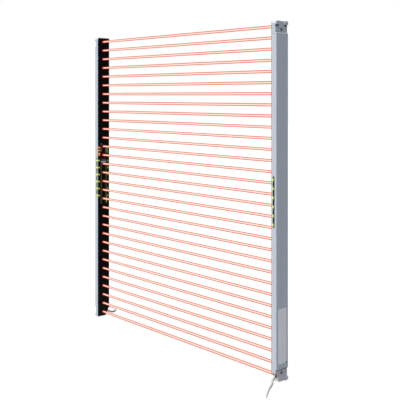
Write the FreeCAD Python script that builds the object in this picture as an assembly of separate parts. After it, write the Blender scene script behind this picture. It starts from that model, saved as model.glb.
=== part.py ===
import FreeCAD, Part
import math
import os

# Safety light curtain: an emitter bar and a receiver bar that stand face to face.
# Millimetres. Z is up, the bars stand on z = 0, and the origin is midway between them.
# X runs from the emitter to the receiver. -Y is the side that shows in the photograph.
# A bar is drawn in its own frame: its window looks along +x and lies at x = 0,
# y runs across it and z up it. The receiver is the same bar, turned half a turn.

# Optics
beam_count = 32
beam_pitch = 20.0
beam_end_margin = 9.0       # end of the bar to the nearest beam
window_gap = 539.0          # clear distance between the two windows
lens_r = 3.2
lens_rise = 0.6
cell_half = 2.5             # half of a light cell's side
element_side = 3.2
element_height = 2.8
element_thick = 1.0

# Casing
bar_width = 31.0
bar_depth = 12.0
wall = 1.6
back_corner_r = 1.0
lip = 0.5                   # casing edge left in front of the window's rim
end_wall = 2.6
clear = 0.1                 # between pieces that fit into each other
slack = 0.3                 # between pieces that only lie beside each other

# End caps
recess_length = 20.5        # shallow bracket seat at each end of the back
recess_depth = 2.1
seam_land = 0.4             # full-depth stretch between the bevel and the seam
cap_gasket_thick = 0.4
gasket_inset = 0.15
cap_edge_r = 0.8
tongue_thick = 1.4
tongue_reach = 8.0
tongue_inset = 1.7          # from the casing's inner side
ear_width = 8.0
ear_height = 7.0
ear_corner_r = 4.0
ear_foot_r = 2.0
hook_slot_height = 2.4
hook_slot_depth = 1.0
hook_slot_width = 6.6

# Threaded brass inserts, M3
insert_from_end = 15.4
insert_outer_r = 2.2
insert_bore_r = 1.25
insert_length = 4.5
insert_boss_wall = 0.8
insert_floor = 0.4

# Cable corner of the bottom cap
pocket_width = 9.9          # at the foot of the pocket's leaning wall
pocket_tilt = 28.0          # degrees that the wall leans out, and that the bush points down
pocket_height = 15.6
pocket_r = 1.2
pocket_wall = 2.6
exit_height = 7.5           # where the cable leaves the bush
bush_seat_r = 3.0
bush_collar_r = 3.7
bush_tip_r = 2.9
bush_collar_length = 2.0

# Window and its seal
window_thick = 1.2
window_end_inset = 1.4
window_corner_r = 1.6
window_edge = 0.3
seal_thick = 0.4
seal_width = 0.8

# Optics holder, lens strip and boards
lens_base_front = 2.0       # window face to the lens strip's flat front
lens_base_thick = 0.8
lens_strip_inset = 7.4      # from the casing's inner side
holder_front = 2.4
back_room = 5.4             # element board's front to the back of the bar
board_thick = 1.0
ledge_thick = 1.0
ledge_width = 1.5
screw_from_side = 5.7
screw_from_end = 78.0
screw_r = 1.0
screw_head_r = 1.9
screw_head_thick = 1.4
screw_head_setback = 2.8
screw_tip_room = 1.0        # screw's tip to the back wall
boss_r = 2.5
control_below = 168.0       # from the middle of the light strips down to the control board's end
control_above = 12.0
control_inset = 1.9         # from the casing's inner side
control_thick = 0.8
control_standoff = 0.8
stud_r = 0.7
stud_inset = 4.0
# Parts on the control board: (place across the bar, height from the middle of the light strips,
# width, height)
chips = [(-4.0, -148.0, 9.0, 9.0), (5.5, -130.0, 6.0, 10.0), (-3.0, -113.0, 12.0, 12.0),
         (4.0, -86.0, 5.0, 7.0), (-6.0, -68.0, 6.0, 6.0), (0.0, -13.0, 14.0, 8.0)]
chip_thick = 0.9
header_below = 43.0         # under the middle of the light strips
header_half_width = 8.0
header_half_height = 2.5

# Side light strips and their lamps
strip_middle = 318.0
strip_length = 91.0
strip_width = 4.6
strip_setback = 2.2         # window face to the strip's near edge
strip_tab = 1.6
strip_tab_thick = 0.7
lamp_count = 6
lamp_from_end = 5.5         # middle of the last lamp to the end of its strip
lamp_depth = 1.6
lamp_height = 2.2
lamp_thick = 1.2

# Status lights beside the optics: (side of the bar, near and far edge from that side,
# end of the light strips, near and far end beyond it)
status_lights = [(-1, 3.3, 6.1, 1, 3.0, 24.5), (1, 4.1, 5.9, 1, 10.5, 23.5), (1, 6.6, 8.1, -1, 4.5, 9.5)]
display_half_width = 7.3
display_low = 34.6          # above the middle of the light strips
display_high = 42.4
display_thick = 0.6

# Back of the casing
plate_low = 32.0
plate_high = 129.5
plate_inset = 4.3           # from the sides of the bar
plate_corner_r = 2.0
plate_thick = 0.25
plate_recess = 0.3
dimple_heights = [260.0, 379.0, 596.0]
dimple_r = 1.4
dimple_depth = 0.35

# Cable and its round screw-on connector
cable_r = 2.3
cable_lead = 4.2            # straight out of the bush
arc_share = 0.45            # of the shorter run, up to where each bend's arc starts
tail_r = 3.3
tail_length = 9.0
tail_grooves = 3
tail_groove_width = 0.9
tail_groove_depth = 0.7
grip_r = 6.0
grip_front = 26.0
grip_flutes = 8
grip_flute_r = 1.6
barrel_r = 4.6
flange_r = 5.1
flange_thick = 1.2
nut_rear_lip = 4.4
nut_front = 40.0
nut_r = 7.3
nut_sleeve_r = 6.8
nut_grip_length = 9.0
nut_bore_r = 5.5
nut_flutes = 18
nut_flute_r = 0.7
carrier_r = 4.1
carrier_front = 36.5
key_half = 0.6
pin_r = 0.5
pin_tip = 39.4
pin_root = 33.0
pin_circle_r = 2.7
emitter_pin_count = 5
receiver_pin_count = 8
ring_thick = 1.0
ring_width = 1.0

# Cable routes after the lead: (offset from the exit along X, the same along Y, height)
cable_routes = {
    "receiver": [(1.2, -8.0, 3.8), (4.2, -12.9, 2.6), (9.1, -18.6, 2.3), (16.5, -28.1, 2.3),
                 (25.5, -41.3, 2.3), (34.7, -56.8, 2.3), (46.5, -70.3, 2.5), (60.9, -77.3, 4.7),
                 (74.9, -77.6, 7.4), (86.1, -73.1, 7.4)],
    "emitter": [(1.1, 8.2, 3.7), (0.9, 14.1, 2.6), (-1.8, 21.2, 2.3), (-8.2, 28.3, 2.3),
                (-19.8, 34.2, 2.3), (-35.7, 36.2, 2.3), (-53.7, 36.2, 2.6), (-70.0, 40.9, 4.8),
                (-82.1, 47.9, 7.4), (-92.0, 54.8, 7.4)],
}

# Sizes that follow from the ones above
bar_height = (beam_count - 1) * beam_pitch + 2 * beam_end_margin
half_width = bar_width / 2
inner_half = half_width - wall
seat_half = half_width - lip
tongue_half_width = inner_half - tongue_inset
lens_strip_half = inner_half - lens_strip_inset
control_half = inner_half - control_inset
plate_half_width = half_width - plate_inset
pocket_foot = half_width - pocket_width
exit_setback = bar_depth / 2
board_front = bar_depth - back_room
cap_depth = bar_depth - recess_depth
cap_length = recess_length + recess_depth + seam_land
window_seat = window_thick + seal_thick
board_back = board_front + board_thick
lens_base_back = lens_base_front + lens_base_thick
holder_half = inner_half - 2 * clear
optics_low = end_wall + slack
optics_high = bar_height - optics_low
tilt = math.radians(pocket_tilt)
bush_reach = (half_width - pocket_foot - exit_height * math.tan(tilt)) * math.cos(tilt)
beam_heights = [beam_end_margin + k * beam_pitch for k in range(beam_count)]
insert_heights = [insert_from_end, bar_height - insert_from_end]
insert_boss_r = insert_outer_r + insert_boss_wall
lamp_pitch = (strip_length - 2 * lamp_from_end) / (lamp_count - 1)
lamp_heights = [strip_middle + (k - (lamp_count - 1) / 2) * lamp_pitch for k in range(lamp_count)]
control_low = strip_middle - control_below
control_high = strip_middle + control_above
header_z = strip_middle - header_below
screw_spots = [(side * (half_width - screw_from_side), z)
               for z in (screw_from_end, bar_height - screw_from_end) for side in (-1, 1)]


def vec(x, y, z):
    return FreeCAD.Vector(x, y, z)


def block(x0, x1, y0, y1, z0, z1):
    return Part.makeBox(x1 - x0, y1 - y0, z1 - z0, vec(x0, y0, z0))


def rod(x0, x1, y, z, r):
    # Round bar along x
    return Part.makeCylinder(r, x1 - x0, vec(x0, y, z), vec(1, 0, 0))


def outline(corners, at):
    # Closed wire through the corners (u, v, radius); at() turns (u, v) into a point
    edges = []
    ends = []
    for k, (u, v, r) in enumerate(corners):
        here = at(u, v)
        before = at(*corners[k - 1][:2]) - here
        after = at(*corners[(k + 1) % len(corners)][:2]) - here
        before.normalize()
        after.normalize()
        half_angle = before.getAngle(after) / 2
        if r > 0:
            reach = r / math.tan(half_angle)
            middle = before + after
            middle.normalize()
            start = here + before * reach
            stop = here + after * reach
            bulge = here + middle * (r / math.sin(half_angle) - r)
            edges.append(Part.Arc(start, bulge, stop).toShape())
            ends.append((start, stop))
        else:
            edges.append(None)
            ends.append((here, here))
    wire = []
    for k in range(len(corners)):
        if edges[k]:
            wire.append(edges[k])
        start = ends[k][1]
        stop = ends[(k + 1) % len(corners)][0]
        wire.append(Part.makeLine(start, stop))
    return Part.Wire(wire)


def slab_x(x0, x1, corners):
    face = Part.Face(outline(corners, lambda u, v: vec(x0, u, v)))
    return face.extrude(vec(x1 - x0, 0, 0))


def slab_y(y0, y1, corners):
    face = Part.Face(outline(corners, lambda u, v: vec(u, y0, v)))
    return face.extrude(vec(0, y1 - y0, 0))


def slab_z(z0, z1, corners):
    face = Part.Face(outline(corners, lambda u, v: vec(u, v, z0)))
    return face.extrude(vec(0, 0, z1 - z0))


def join(first, *more):
    return first.fuse(list(more)).removeSplitter()


def turned(profile):
    # Solid of revolution about z from (height, radius) points
    points = [vec(r, 0, z) for z, r in profile]
    wire = Part.makePolygon(points + [points[0]])
    return Part.Face(wire).revolve(vec(0, 0, 0), vec(0, 0, 1), 360)


def ring_of(count, tool):
    return [tool.rotated(vec(0, 0, 0), vec(0, 0, 1), k * 360 / count) for k in range(count)]


# Outlines shared by the casing, the window, the seal and the boards

def casing_section(depth, inset=0.0):
    back = inset - depth
    side = half_width - inset
    return [(back, -side, back_corner_r), (0, -side, 0), (0, side, 0), (back, side, back_corner_r)]


def pocket_edge(z, offset):
    # Place across the bar of the pocket's leaning wall, set back by the offset
    return pocket_foot + z * math.tan(tilt) - offset / math.cos(tilt)


def front_outline(side_y, end_inset, pocket_offset, corner_r):
    # Front view of a bar, with the lower corner at the cable left out
    roof = pocket_height + pocket_offset
    top = bar_height - end_inset
    return [(-side_y, end_inset, corner_r), (pocket_edge(end_inset, pocket_offset), end_inset, 0),
            (pocket_edge(roof, pocket_offset), roof, pocket_r), (side_y, roof, 0),
            (side_y, top, corner_r), (-side_y, top, corner_r)]


def pocket_notch(x0, x1, offset):
    roof = pocket_height + offset
    return slab_x(x0, x1, [(pocket_edge(-end_wall, offset), -end_wall, 0),
                           (pocket_edge(roof, offset), roof, pocket_r),
                           (bar_width, roof, 0), (bar_width, -end_wall, 0)])


def window_outline(inset):
    return front_outline(seat_half - inset, window_end_inset + inset, lip + inset, window_corner_r)


def strip_outline(grow):
    back = -strip_setback - strip_width - grow
    front = -strip_setback + grow
    low = strip_middle - strip_length / 2 - grow
    high = strip_middle + strip_length / 2 + grow
    r = strip_width / 2 + grow - clear / 2
    return [(back, low, r), (front, low, r), (front, high, r), (back, high, r)]


# Casing pieces

def window_rebate():
    return slab_x(-window_seat, 0, window_outline(0))


def cavity(back, low, high):
    # Room inside the casing, from the back wall's inner face to the front
    room = slab_x(-back, 0, front_outline(inner_half, end_wall, pocket_wall, 0))
    return room.common(block(-back, 0, -half_width, half_width, low, high))


def ledges(back, low, high, low_at_pocket):
    front = -board_back
    inside = inner_half - ledge_width
    return [block(-back, front, -inner_half, -inside, low, high),
            block(-back, front, inside, inner_half, low_at_pocket, high)]


def housing():
    low = cap_length + cap_gasket_thick
    high = bar_height - low
    inner_back = bar_depth - wall
    body = slab_z(low, high, casing_section(bar_depth)).cut([cavity(inner_back, low, high), window_rebate()])
    additions = ledges(board_back + ledge_thick, low, high, low)
    for y, z in screw_spots:
        additions.append(rod(-inner_back, -board_back, y, z, boss_r))
    board_seat = control_standoff - inner_back
    for y in (stud_inset - control_half, control_half - stud_inset):
        for z in (control_low + stud_inset, control_high - stud_inset):
            additions.append(rod(-inner_back, board_seat, y, z, 2 * stud_r))
            additions.append(rod(board_seat, board_seat + control_thick + stud_r, y, z, stud_r))
    body = join(body, *additions)
    cuts = [rod(-inner_back, 0, y, z, screw_r + clear) for y, z in screw_spots]
    cuts.append(slab_y(-half_width, half_width, strip_outline(0)))
    cuts.append(slab_x(-bar_depth, plate_recess - bar_depth, plate_outline(0)))
    for z in dimple_heights:
        cuts.append(rod(-bar_depth, dimple_depth - bar_depth, 0, z, dimple_r))
    return body.cut(cuts)


def cap_shell():
    # Outer form of an end cap: shallow seat, bevel, and a short full-depth land at the seam
    seat_top = recess_length + recess_depth
    shallow = casing_section(cap_depth)
    full = casing_section(bar_depth)
    seat = slab_z(0, recess_length, shallow)
    bevel = Part.makeLoft([outline(shallow, lambda u, v: vec(u, v, recess_length)),
                           outline(full, lambda u, v: vec(u, v, seat_top))], True, True)
    land = slab_z(seat_top, cap_length, full)
    return join(seat, bevel, land)


def soft_end(shape):
    # Rounds the outer rim of a cap's closed end, apart from its front edge
    rim = [e for e in shape.Edges
           if e.BoundBox.ZMax < 1e-6 and e.BoundBox.XMin < -1e-6]
    return shape.makeFillet(cap_edge_r, rim)


def ear(side):
    # Corner pad of the bracket seat, at y * side > 0, standing level with the main back
    inner = half_width - ear_width
    corners = [(side * half_width, 0, ear_corner_r), (side * half_width, ear_height, ear_foot_r),
               (side * inner, ear_height, 0), (side * inner, 0, 0)]
    return slab_x(-bar_depth, cap_edge_r - cap_depth, corners)


def hook_slot(side):
    # Slot under an ear, where a bracket's claw hooks in
    y0, y1 = sorted([side * (half_width - wall), side * (half_width - wall - hook_slot_width)])
    return block(-bar_depth, hook_slot_depth - cap_depth, y0, y1, ear_height, ear_height + hook_slot_height)


def tongue():
    back = clear + wall - bar_depth
    return block(back, back + tongue_thick, -tongue_half_width, tongue_half_width,
                 recess_length, cap_length + tongue_reach)


def insert_boss():
    front = insert_length + insert_floor - cap_depth
    return rod(wall - cap_depth, front, 0, insert_from_end, insert_boss_r)


def insert_hole():
    return rod(-cap_depth, insert_length - cap_depth, 0, insert_from_end, insert_outer_r)


def bottom_cap():
    inner_back = cap_depth - wall
    body = join(soft_end(cap_shell()), ear(-1))
    body = body.cut([cavity(inner_back, 0, cap_length), window_rebate()])
    low = pocket_height + pocket_wall
    body = join(body, tongue(), insert_boss(), *ledges(inner_back, end_wall, cap_length, low))
    seat = on_bush_axis(Part.makeCylinder(bush_seat_r, pocket_wall, vec(0, 0, -pocket_wall)))
    return body.cut([pocket_notch(-bar_depth, 0, 0), seat, insert_hole()])


def top_cap():
    # Drawn upside down at the bottom end and then turned over, about an axis along x
    inner_back = cap_depth - wall
    body = join(soft_end(cap_shell()), ear(-1), ear(1))
    room = block(-inner_back, 0, -inner_half, inner_half, end_wall, cap_length)
    rebate = slab_x(-window_seat, 0, [(-seat_half, window_end_inset, window_corner_r),
                                      (seat_half, window_end_inset, window_corner_r),
                                      (seat_half, 2 * cap_length, 0), (-seat_half, 2 * cap_length, 0)])
    body = body.cut([room, rebate])
    body = join(body, tongue(), insert_boss(), *ledges(inner_back, end_wall, cap_length, end_wall))
    body = body.cut([hook_slot(-1), hook_slot(1), insert_hole()])
    return body.rotated(vec(0, 0, bar_height / 2), vec(1, 0, 0), 180)


def cap_gaskets():
    section = casing_section(bar_depth, gasket_inset)
    rings = []
    for low in (cap_length, bar_height - cap_length - cap_gasket_thick):
        ring = slab_z(low, low + cap_gasket_thick, section)
        room = block(wall - bar_depth, 0, -inner_half, inner_half, low, low + cap_gasket_thick)
        seat = block(-window_seat, 0, -seat_half, seat_half, low, low + cap_gasket_thick)
        rings.append(ring.cut([room, seat]))
    return Part.Compound(rings)


def mounting_inserts():
    sleeves = []
    for z in insert_heights:
        sleeve = rod(-cap_depth, insert_length - cap_depth, 0, z, insert_outer_r)
        sleeves.append(sleeve.cut(rod(-cap_depth, insert_length - cap_depth, 0, z, insert_bore_r)))
    return Part.Compound(sleeves)


def plate_outline(inset):
    low = plate_low + inset
    high = plate_high - inset
    side = plate_half_width - inset
    return [(-side, low, plate_corner_r), (side, low, plate_corner_r),
            (side, high, plate_corner_r), (-side, high, plate_corner_r)]


def name_plate():
    seat = plate_recess - bar_depth
    return slab_x(seat - plate_thick, seat, plate_outline(clear))


# Window and optics

def front_window():
    pane = slab_x(-window_thick, 0, window_outline(clear))
    rim = [e for e in pane.Edges if e.BoundBox.XMin > -1e-6]
    return pane.makeChamfer(window_edge, rim)


def window_seal():
    frame = slab_x(-window_seat, -window_thick, window_outline(clear))
    return frame.cut(slab_x(-window_seat, -window_thick, window_outline(clear + seal_width)))


def lens_strip():
    strip = block(-lens_base_back, -lens_base_front, -lens_strip_half, lens_strip_half, optics_low, optics_high)
    strip = strip.cut(pocket_notch(-lens_base_back, -lens_base_front, pocket_wall + slack))
    sphere_r = (lens_r ** 2 + lens_rise ** 2) / (2 * lens_rise)
    top = lens_rise - lens_base_front
    domes = []
    for z in beam_heights:
        ball = Part.makeSphere(sphere_r, vec(top - sphere_r, 0, z), vec(1, 0, 0))
        domes.append(ball.common(rod(-lens_base_front, top, 0, z, lens_r)))
    return join(strip, *domes)


def side_light_recess(x0, x1, side):
    y0, y1 = sorted([side * (inner_half - strip_tab_thick - lamp_depth - 2 * slack), side * half_width])
    low = strip_middle - strip_length / 2 - strip_tab - slack
    high = strip_middle + strip_length / 2 + strip_tab + slack
    return block(x0, x1, y0, y1, low, high)


def optics_holder():
    back = -board_front
    front = -holder_front
    body = block(back, front, -holder_half, holder_half, optics_low, optics_high)
    cuts = [pocket_notch(back, front, pocket_wall + slack)]
    cuts.append(block(-lens_base_back, front, -lens_strip_half - clear, lens_strip_half + clear,
                      optics_low, optics_high))
    for z in beam_heights:
        cuts.append(block(back, front, -cell_half, cell_half, z - cell_half, z + cell_half))
    for z in insert_heights:
        boss_front = insert_length + insert_floor - cap_depth
        cuts.append(rod(-cap_depth, boss_front + slack, 0, z, insert_boss_r + slack))
    for side in (-1, 1):
        cuts.append(side_light_recess(back, front, side))
    for light in status_lights:
        cuts.append(status_light_slab(back, front, light, clear))
    for y, z in screw_spots:
        cuts.append(rod(back, front, y, z, screw_r + clear))
        cuts.append(rod(-screw_head_setback - screw_head_thick, front, y, z, screw_head_r + clear))
    return body.cut(cuts)


def element_board():
    body = block(-board_back, -board_front, -holder_half, holder_half, optics_low, optics_high)
    cuts = [pocket_notch(-board_back, -board_front, pocket_wall + slack)]
    for z in insert_heights:
        cuts.append(rod(-board_back, -board_front, 0, z, insert_boss_r + slack))
    for y, z in screw_spots:
        cuts.append(rod(-board_back, -board_front, y, z, screw_r + clear))
    return body.cut(cuts)


def optical_elements():
    y = element_side / 2
    z = element_height / 2
    return Part.Compound([block(-board_front, element_thick - board_front, -y, y, h - z, h + z)
                          for h in beam_heights])


def holder_screws():
    screws = []
    for y, z in screw_spots:
        head = rod(-screw_head_setback - screw_head_thick, -screw_head_setback, y, z, screw_head_r)
        seat = -screw_head_setback - screw_head_thick
        screws.append(join(head, rod(wall + screw_tip_room - bar_depth, seat, y, z, screw_r)))
    return Part.Compound(screws)


def control_board():
    back = wall + control_standoff - bar_depth
    body = block(back, back + control_thick, -control_half, control_half, control_low, control_high)
    cuts = []
    for y in (stud_inset - control_half, control_half - stud_inset):
        for z in (control_low + stud_inset, control_high - stud_inset):
            cuts.append(rod(back, back + control_thick, y, z, stud_r + clear))
    return body.cut(cuts)


def board_chips():
    seat = wall + control_standoff + control_thick - bar_depth
    blocks = []
    for y, offset, width, height in chips:
        z = strip_middle + offset
        blocks.append(block(seat, seat + chip_thick, y - width / 2, y + width / 2,
                            z - height / 2, z + height / 2))
    return Part.Compound(blocks)


def board_connector():
    seat = wall + control_standoff + control_thick - bar_depth
    return block(seat, -board_back, -header_half_width, header_half_width,
                 header_z - header_half_height, header_z + header_half_height)


# Lights

def side_light_guides():
    guides = []
    for side in (-1, 1):
        y0, y1 = sorted([side * inner_half, side * (half_width - clear)])
        pane = slab_y(y0, y1, strip_outline(-clear))
        y0, y1 = sorted([side * (inner_half - strip_tab_thick), side * inner_half])
        x0 = slack - board_front
        x1 = -holder_front - clear
        low = strip_middle - strip_length / 2 - strip_tab
        high = strip_middle + strip_length / 2 + strip_tab
        guides.append(join(pane, block(x0, x1, y0, y1, low, high)))
    return Part.Compound(guides)


def indicator_lamps():
    lamps = []
    outer = inner_half - strip_tab_thick - slack
    for side in (-1, 1):
        y0, y1 = sorted([side * (outer - lamp_depth), side * outer])
        for z in lamp_heights:
            lamps.append(block(-board_front, lamp_thick - board_front, y0, y1,
                               z - lamp_height / 2, z + lamp_height / 2))
    return Part.Compound(lamps)


def status_light_slab(x0, x1, light, grow):
    side, near, far, end, start, stop = light
    y0, y1 = sorted([side * (half_width - near + grow), side * (half_width - far - grow)])
    z0, z1 = sorted([end * (strip_length / 2 + start - grow), end * (strip_length / 2 + stop + grow)])
    return block(x0, x1, y0, y1, strip_middle + z0, strip_middle + z1)


def status_light_pipes():
    return Part.Compound([status_light_slab(-board_front, -window_thick - clear, light, 0)
                          for light in status_lights])


def display_plate():
    return block(-lens_base_front, display_thick - lens_base_front, -display_half_width, display_half_width,
                 strip_middle + display_low, strip_middle + display_high)


# Cable and connector

def bush_axis(side):
    # Outward and down from a bar's side, where side is the sign of y
    return vec(0, side * math.cos(tilt), -math.sin(tilt))


def on_bush_axis(shape):
    # From z to the bush's own axis, with the wall's face at zero
    face = vec(-exit_setback, half_width, exit_height) - bush_axis(1) * bush_reach
    turn = FreeCAD.Rotation(vec(0, 0, 1), bush_axis(1))
    return shape.transformed(FreeCAD.Placement(face, turn).toMatrix())


def cable_bush():
    # Moulded strain relief: a shank in the pocket's wall, a collar, and a taper to the cable
    return on_bush_axis(turned([(-pocket_wall, 0), (-pocket_wall, bush_seat_r), (0, bush_seat_r),
                                (0, bush_collar_r), (bush_collar_length, bush_collar_r),
                                (bush_reach, bush_tip_r), (bush_reach, 0)]))


def connector_body():
    tail = [(0, 0), (0, tail_r)]
    step = tail_length / (tail_grooves + 1)
    for k in range(tail_grooves):
        z = (k + 1) * step
        r = tail_r + (grip_r - tail_r) * z / (2 * tail_length)
        tail += [(z - tail_groove_width / 2, r), (z - tail_groove_width / 2, r - tail_groove_depth),
                 (z + tail_groove_width / 2, r - tail_groove_depth), (z + tail_groove_width / 2, r)]
    shoulder_z = tail_length + 2 * tail_groove_width
    flange_low = grip_front + slack + nut_rear_lip + slack
    body = turned(tail + [(tail_length, (tail_r + grip_r) / 2), (shoulder_z, grip_r),
                          (grip_front - window_edge, grip_r), (grip_front, grip_r - window_edge),
                          (grip_front, barrel_r), (flange_low, barrel_r), (flange_low, flange_r),
                          (flange_low + flange_thick, flange_r), (flange_low + flange_thick, 0)])
    flute_length = grip_front - shoulder_z - 2 * tail_groove_width
    flute = Part.makeCylinder(grip_flute_r, flute_length,
                              vec(grip_r + 2 * grip_flute_r / 3, 0, shoulder_z + tail_groove_width))
    return body.cut(ring_of(grip_flutes, flute))


def carrier_base():
    return grip_front + slack + nut_rear_lip + slack + flange_thick


def pin_places(count):
    around = count - 1
    places = [(0.0, 0.0)]
    for k in range(around):
        turn = 2 * math.pi * (k + 0.5) / around
        places.append((pin_circle_r * math.cos(turn), pin_circle_r * math.sin(turn)))
    return places


def connector_carrier(count):
    base = carrier_base()
    body = Part.makeCylinder(carrier_r, carrier_front - base, vec(0, 0, base))
    cuts = [block(carrier_r - key_half, carrier_r + key_half, -key_half, key_half,
                  base + ring_thick, carrier_front)]
    for x, y in pin_places(count):
        cuts.append(Part.makeCylinder(pin_r, carrier_front - pin_root, vec(x, y, pin_root)))
    return body.cut(cuts)


def connector_pins(count):
    return Part.Compound([Part.makeCylinder(pin_r, pin_tip - pin_root, vec(x, y, pin_root))
                          for x, y in pin_places(count)])


def connector_ring():
    base = carrier_base()
    ring = Part.makeCylinder(carrier_r + ring_width, ring_thick, vec(0, 0, base))
    return ring.cut(Part.makeCylinder(carrier_r, ring_thick, vec(0, 0, base)))


def coupling_nut():
    rear = grip_front + slack
    lip_front = rear + nut_rear_lip
    grip_end = rear + nut_grip_length
    lip_r = barrel_r + slack
    edge = window_edge
    body = turned([(rear, lip_r), (rear, nut_r - edge), (rear + edge, nut_r), (grip_end - edge, nut_r),
                   (grip_end, nut_r - edge), (grip_end, nut_sleeve_r), (nut_front - edge, nut_sleeve_r),
                   (nut_front, nut_sleeve_r - edge), (nut_front, nut_bore_r + edge),
                   (nut_front - edge, nut_bore_r), (lip_front, nut_bore_r), (lip_front, lip_r)])
    flute = Part.makeCylinder(nut_flute_r, nut_grip_length, vec(nut_r + nut_flute_r / 3, 0, rear))
    return body.cut(ring_of(nut_flutes, flute))


def route_points(bar):
    side = {"emitter": 1, "receiver": -1}[bar]
    out = vec(-side * (window_gap / 2 + exit_setback), side * half_width, exit_height)
    lead = out + bush_axis(side) * cable_lead
    return [out, lead] + [vec(out.x + x, out.y + y, z) for x, y, z in cable_routes[bar]]


def cable(bar):
    # Straight runs joined by the largest arcs that they leave room for
    points = route_points(bar)
    edges = []
    radii = []
    length = 0.0
    start = points[0]
    for k in range(1, len(points) - 1):
        back = points[k - 1] - points[k]
        ahead = points[k + 1] - points[k]
        reach = arc_share * min(back.Length, ahead.Length)
        back.normalize()
        ahead.normalize()
        half_turn = (math.pi - back.getAngle(ahead)) / 2
        radius = reach / math.tan(half_turn)
        middle = back + ahead
        middle.normalize()
        low = points[k] + back * reach
        high = points[k] + ahead * reach
        bulge = points[k] + middle * (radius / math.cos(half_turn) - radius)
        edges += [Part.LineSegment(start, low).toShape(), Part.Arc(low, bulge, high).toShape()]
        length += (low - start).Length + 2 * half_turn * radius
        radii.append(round(radius, 1))
        start = high
    edges.append(Part.LineSegment(start, points[-1]).toShape())
    length += (points[-1] - start).Length
    path = Part.Wire(edges)
    disc = Part.Wire(Part.makeCircle(cable_r, points[0], points[1] - points[0]))
    tube = path.makePipeShell([disc], True, True)
    print(bar, "cable: length %.1f, volume over section %.1f" % (length, tube.Volume / (math.pi * cable_r ** 2)))
    print(bar, "bend radii:", radii)
    return tube


def on_cable_end(shape, bar):
    # From the connector's own axis to the end of the cable
    points = route_points(bar)
    heading = points[-1] - points[-2]
    turn = FreeCAD.Rotation(vec(0, 0, 1), heading)
    return shape.transformed(FreeCAD.Placement(points[-1], turn).toMatrix())


def stand(shape, bar):
    # From a bar's own frame to its place
    moved = shape.translated(vec(-window_gap / 2, 0, 0))
    if bar == "receiver":
        moved.rotate(vec(0, 0, 0), vec(0, 0, 1), 180)
    return moved


def bar_pieces():
    return {
        "housing": housing(),
        "top_cap": top_cap(),
        "bottom_cap": bottom_cap(),
        "cap_gaskets": cap_gaskets(),
        "mounting_inserts": mounting_inserts(),
        "name_plate": name_plate(),
        "front_window": front_window(),
        "window_seal": window_seal(),
        "lens_strip": lens_strip(),
        "optics_holder": optics_holder(),
        "holder_screws": holder_screws(),
        "element_board": element_board(),
        "optical_elements": optical_elements(),
        "control_board": control_board(),
        "board_chips": board_chips(),
        "board_connector": board_connector(),
        "side_light_guides": side_light_guides(),
        "indicator_lamps": indicator_lamps(),
        "status_light_pipes": status_light_pipes(),
        "display_plate": display_plate(),
        "cable_bush": cable_bush(),
    }


def connector_pieces(count):
    return {
        "connector_body": connector_body(),
        "connector_carrier": connector_carrier(count),
        "connector_pins": connector_pins(count),
        "connector_ring": connector_ring(),
        "coupling_nut": coupling_nut(),
    }


def main():
    os.makedirs("parts", exist_ok=True)
    pieces = bar_pieces()
    for bar, pin_count in (("emitter", emitter_pin_count), ("receiver", receiver_pin_count)):
        nodes = {name: stand(shape, bar) for name, shape in pieces.items()}
        for name, shape in connector_pieces(pin_count).items():
            nodes[name] = on_cable_end(shape, bar)
        nodes["cable"] = cable(bar)
        for name, shape in nodes.items():
            if not shape.isValid():
                print("not valid:", bar, name)
            shape.exportStep("parts/%s_%s.step" % (bar, name))


main()
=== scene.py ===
import math
import bpy
import bmesh
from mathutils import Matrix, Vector


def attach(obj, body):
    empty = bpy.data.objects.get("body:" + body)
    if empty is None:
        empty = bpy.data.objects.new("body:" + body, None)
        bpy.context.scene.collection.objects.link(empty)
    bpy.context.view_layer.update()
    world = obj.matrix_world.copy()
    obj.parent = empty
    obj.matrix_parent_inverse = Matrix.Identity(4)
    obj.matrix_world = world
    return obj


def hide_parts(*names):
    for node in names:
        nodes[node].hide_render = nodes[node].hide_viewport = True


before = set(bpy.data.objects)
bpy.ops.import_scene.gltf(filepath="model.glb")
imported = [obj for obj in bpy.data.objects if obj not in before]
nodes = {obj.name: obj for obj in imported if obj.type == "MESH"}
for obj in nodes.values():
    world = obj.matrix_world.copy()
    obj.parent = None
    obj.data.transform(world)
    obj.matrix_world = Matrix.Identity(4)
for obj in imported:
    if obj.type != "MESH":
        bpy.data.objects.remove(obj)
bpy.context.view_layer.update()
mm = 0.001
print("frame loaded:", len(nodes), "nodes")

# Places are in millimetres: x from the emitter's bar to the receiver's, z up the bars
bars = {"emitter": 1, "receiver": -1}    # side of y on which a bar's cable leaves
layout = {"windowAt": 269.5, "beamStart": 9.0, "beamPitch": 20.0, "beamCount": 32,
          "lampMiddle": 316.8, "lampPitch": 16.0, "lampCount": 6, "lampLine": 274.0,
          "receiverLamps": (1.2, 0.7)}    # shift of the receiver's lamps to its window, and up
firstLamp = layout["lampMiddle"] - (layout["lampCount"] - 1) / 2 * layout["lampPitch"]
black = (0.0, 0.0, 0.0)


# Small helpers for materials

def newMaterial(name, roughness, metallic=0.0, specular=0.5):
    mat = bpy.data.materials.new(name)
    mat.use_nodes = True
    shader = mat.node_tree.nodes["Principled BSDF"]
    shader.inputs["Roughness"].default_value = roughness
    shader.inputs["Metallic"].default_value = metallic
    shader.inputs["Specular IOR Level"].default_value = specular
    return mat, mat.node_tree, shader


def opened(mat):
    return mat.node_tree, mat.node_tree.nodes["Principled BSDF"]


def colourSoFar(shader):
    return shader.inputs["Base Color"].links[0].from_socket


def setColour(tree, shader, colour):
    tree.links.new(colour, shader.inputs["Base Color"])


def feed(tree, socket, value):
    # A colour or number is set on the socket, anything else is linked to it
    if isinstance(value, tuple):
        socket.default_value = (*value, 1)
    elif isinstance(value, (int, float)):
        socket.default_value = value
    else:
        tree.links.new(value, socket)


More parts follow.
